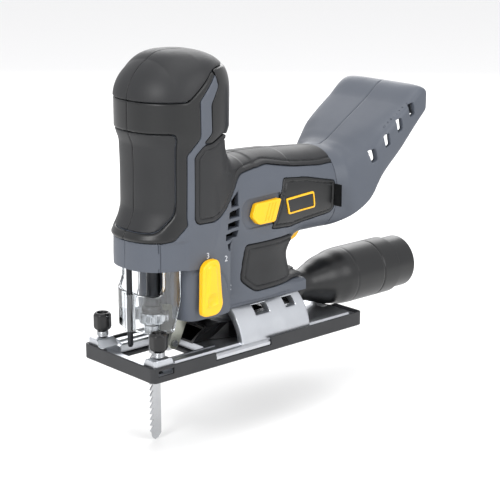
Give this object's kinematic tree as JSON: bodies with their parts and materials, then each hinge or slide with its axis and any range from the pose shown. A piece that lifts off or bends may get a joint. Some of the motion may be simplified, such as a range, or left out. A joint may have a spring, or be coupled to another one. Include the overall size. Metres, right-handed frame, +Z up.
{
  "type": "jigsaw power tool",
  "caption": "Barrel-grip battery jigsaw with a tall motor tower, tilting cast base in a plastic shoe, clear chip guard, orbit lever, dust nozzle and slide-on battery foot.",
  "frame": {"origin": "centre of the sole's underside, on the middle plane", "axes": "+X towards the blade end, +Y to the tool's left side, +Z up, square to the sole"},
  "size_m": [0.254, 0.0758, 0.249],
  "materials": {
    "shell": "mid bluish grey moulded plastic, fine texture",
    "rubber": "black soft-touch overmould",
    "black": "satin black plastic",
    "yellow": "bright yellow plastic",
    "cast": "light die-cast aluminium, bead blasted",
    "shoe": "charcoal plastic, worn satin",
    "steel": "bright ground steel",
    "zinc": "zinc-plated steel",
    "copper": "copper windings",
    "brass": "plain brass",
    "clear": "clear polycarbonate",
    "board": "circuit board green",
    "black_steel": "blackened steel"
  },
  "bodies": {
    "housing": {"housing_left": "shell", "housing_right": "shell", "cap_left": "rubber", "cap_right": "rubber", "palm_panel_left": "rubber", "palm_panel_right": "rubber", "rear_grip_left": "rubber", "rear_grip_right": "rubber", "saddle_grip_left": "rubber", "saddle_grip_right": "rubber", "badge_panel_left": "black", "badge_panel_right": "black", "case_screw_1": "steel", "case_screw_2": "steel", "case_screw_foot": "steel", "foot_left": "shell", "foot_right": "shell", "terminal_block": "black", "battery_contacts": "brass", "motor_can": "steel", "bearing_lower": "steel", "bearing_upper": "steel", "gear_plate": "cast", "crank_spindle": "steel", "arm_pin": "steel", "switch_module": "black", "controller_board": "board", "finger_rod": "black_steel", "clamp_plate": "zinc"},
    "base": {"base_plate": "cast", "shoe": "shoe", "dust_duct": "black", "fence_spring_left": "steel", "fence_spring_right": "steel"},
    "nozzle": {"nozzle": "black"},
    "fence_knob_left": {"fence_screw_left": "black"},
    "fence_knob_right": {"fence_screw_right": "black"},
    "bevel_bolt": {"bevel_bolt": "steel"},
    "guide": {"guide_carrier": "cast", "guide_bush_lower": "brass", "guide_bush_upper": "brass"},
    "plunger": {"plunger": "steel", "clamp_nose": "steel", "clamp_collar": "black", "blade": "steel"},
    "clamp_ring": {"clamp_ring": "steel"},
    "roller_arm": {"roller_arm": "zinc", "roller_pin": "steel"},
    "roller": {"roller": "steel"},
    "rotor": {"rotor_shaft": "steel", "armature": "copper", "fan": "black"},
    "crank": {"crank_gear": "steel"},
    "orbit_lever": {"orbit_lever": "yellow", "orbit_cam": "zinc"},
    "power_button": {"power_button_left": "yellow", "power_button_right": "yellow", "button_link": "black"},
    "speed_dial": {"speed_dial": "yellow"},
    "chip_guard": {"chip_guard": "clear"}
  },
  "joints": [
    {"name": "bevel_tilt", "type": "hinge", "parent": "housing", "child": "base", "pos_m": [0, 0, 0.004], "axis": [1, 0, 0], "range_deg": [-15, 15]},
    {"name": "nozzle_pull", "type": "slide", "parent": "base", "child": "nozzle", "axis": [-1, 0, 0], "range_m": [0, 0.02]},
    {"name": "fence_screw_turn_left", "type": "hinge", "parent": "base", "child": "fence_knob_left", "pos_m": [0.081, 0.0285, 0.024], "axis": [0, 0, 1], "range_deg": [0, 720]},
    {"name": "fence_screw_turn_right", "type": "hinge", "parent": "base", "child": "fence_knob_right", "pos_m": [0.081, -0.0285, 0.024], "axis": [0, 0, 1], "range_deg": [0, 720]},
    {"name": "bevel_bolt_turn", "type": "hinge", "parent": "housing", "child": "bevel_bolt", "pos_m": [-0.02, 0, 0.03], "axis": [0, 0, 1], "range_deg": [0, 360]},
    {"name": "guide_tilt", "type": "hinge", "parent": "housing", "child": "guide", "pos_m": [0.0618, 0, 0.1215], "axis": [0, -1, 0], "range_deg": [0, 1.2]},
    {"name": "plunger_stroke", "type": "slide", "parent": "guide", "child": "plunger", "axis": [0, 0, 1], "range_m": [0, 0.026]},
    {"name": "clamp_release", "type": "hinge", "parent": "plunger", "child": "clamp_ring", "pos_m": [0.0618, 0, 0.03], "axis": [0, 0, -1], "range_deg": [0, 60], "stiffness_Nm_per_rad": 0.02, "springref_deg": -5.73},
    {"name": "roller_arm_swing", "type": "hinge", "parent": "housing", "child": "roller_arm", "pos_m": [0.038, 0, 0.042], "axis": [0, -1, 0], "range_deg": [0, 4]},
    {"name": "roller_spin", "type": "hinge", "parent": "roller_arm", "child": "roller", "pos_m": [0.0515, 0, 0.0109], "axis": [0, 1, 0], "continuous": true},
    {"name": "motor_spin", "type": "hinge", "parent": "housing", "child": "rotor", "pos_m": [0.0375, 0, 0.15], "axis": [0, 0, 1], "continuous": true},
    {"name": "crank_spin", "type": "hinge", "parent": "housing", "child": "crank", "pos_m": [0.045, 0, 0.0955], "axis": [-1, 0, 0], "continuous": true},
    {"name": "orbit_lever_turn", "type": "hinge", "parent": "housing", "child": "orbit_lever", "pos_m": [0.0435, 0.034, 0.0435], "axis": [0, -1, 0], "range_deg": [0, 90]},
    {"name": "power_slide", "type": "slide", "parent": "housing", "child": "power_button", "axis": [1, 0, 0], "range_m": [0, 0.006]},
    {"name": "speed_dial_turn", "type": "hinge", "parent": "housing", "child": "speed_dial", "pos_m": [-0.054, 0, 0.0685], "axis": [0, 1, 0], "range_deg": [0, 270]},
    {"name": "guard_lift", "type": "slide", "parent": "housing", "child": "chip_guard", "axis": [0, 0, 1], "range_m": [0, 0.015]}
  ],
  "couplings": [
    {"joint": "roller_arm_swing", "follows": "guide_tilt", "ratio": 3.2},
    {"joint": "crank_spin", "follows": "motor_spin", "ratio": 0.23529}
  ]
}
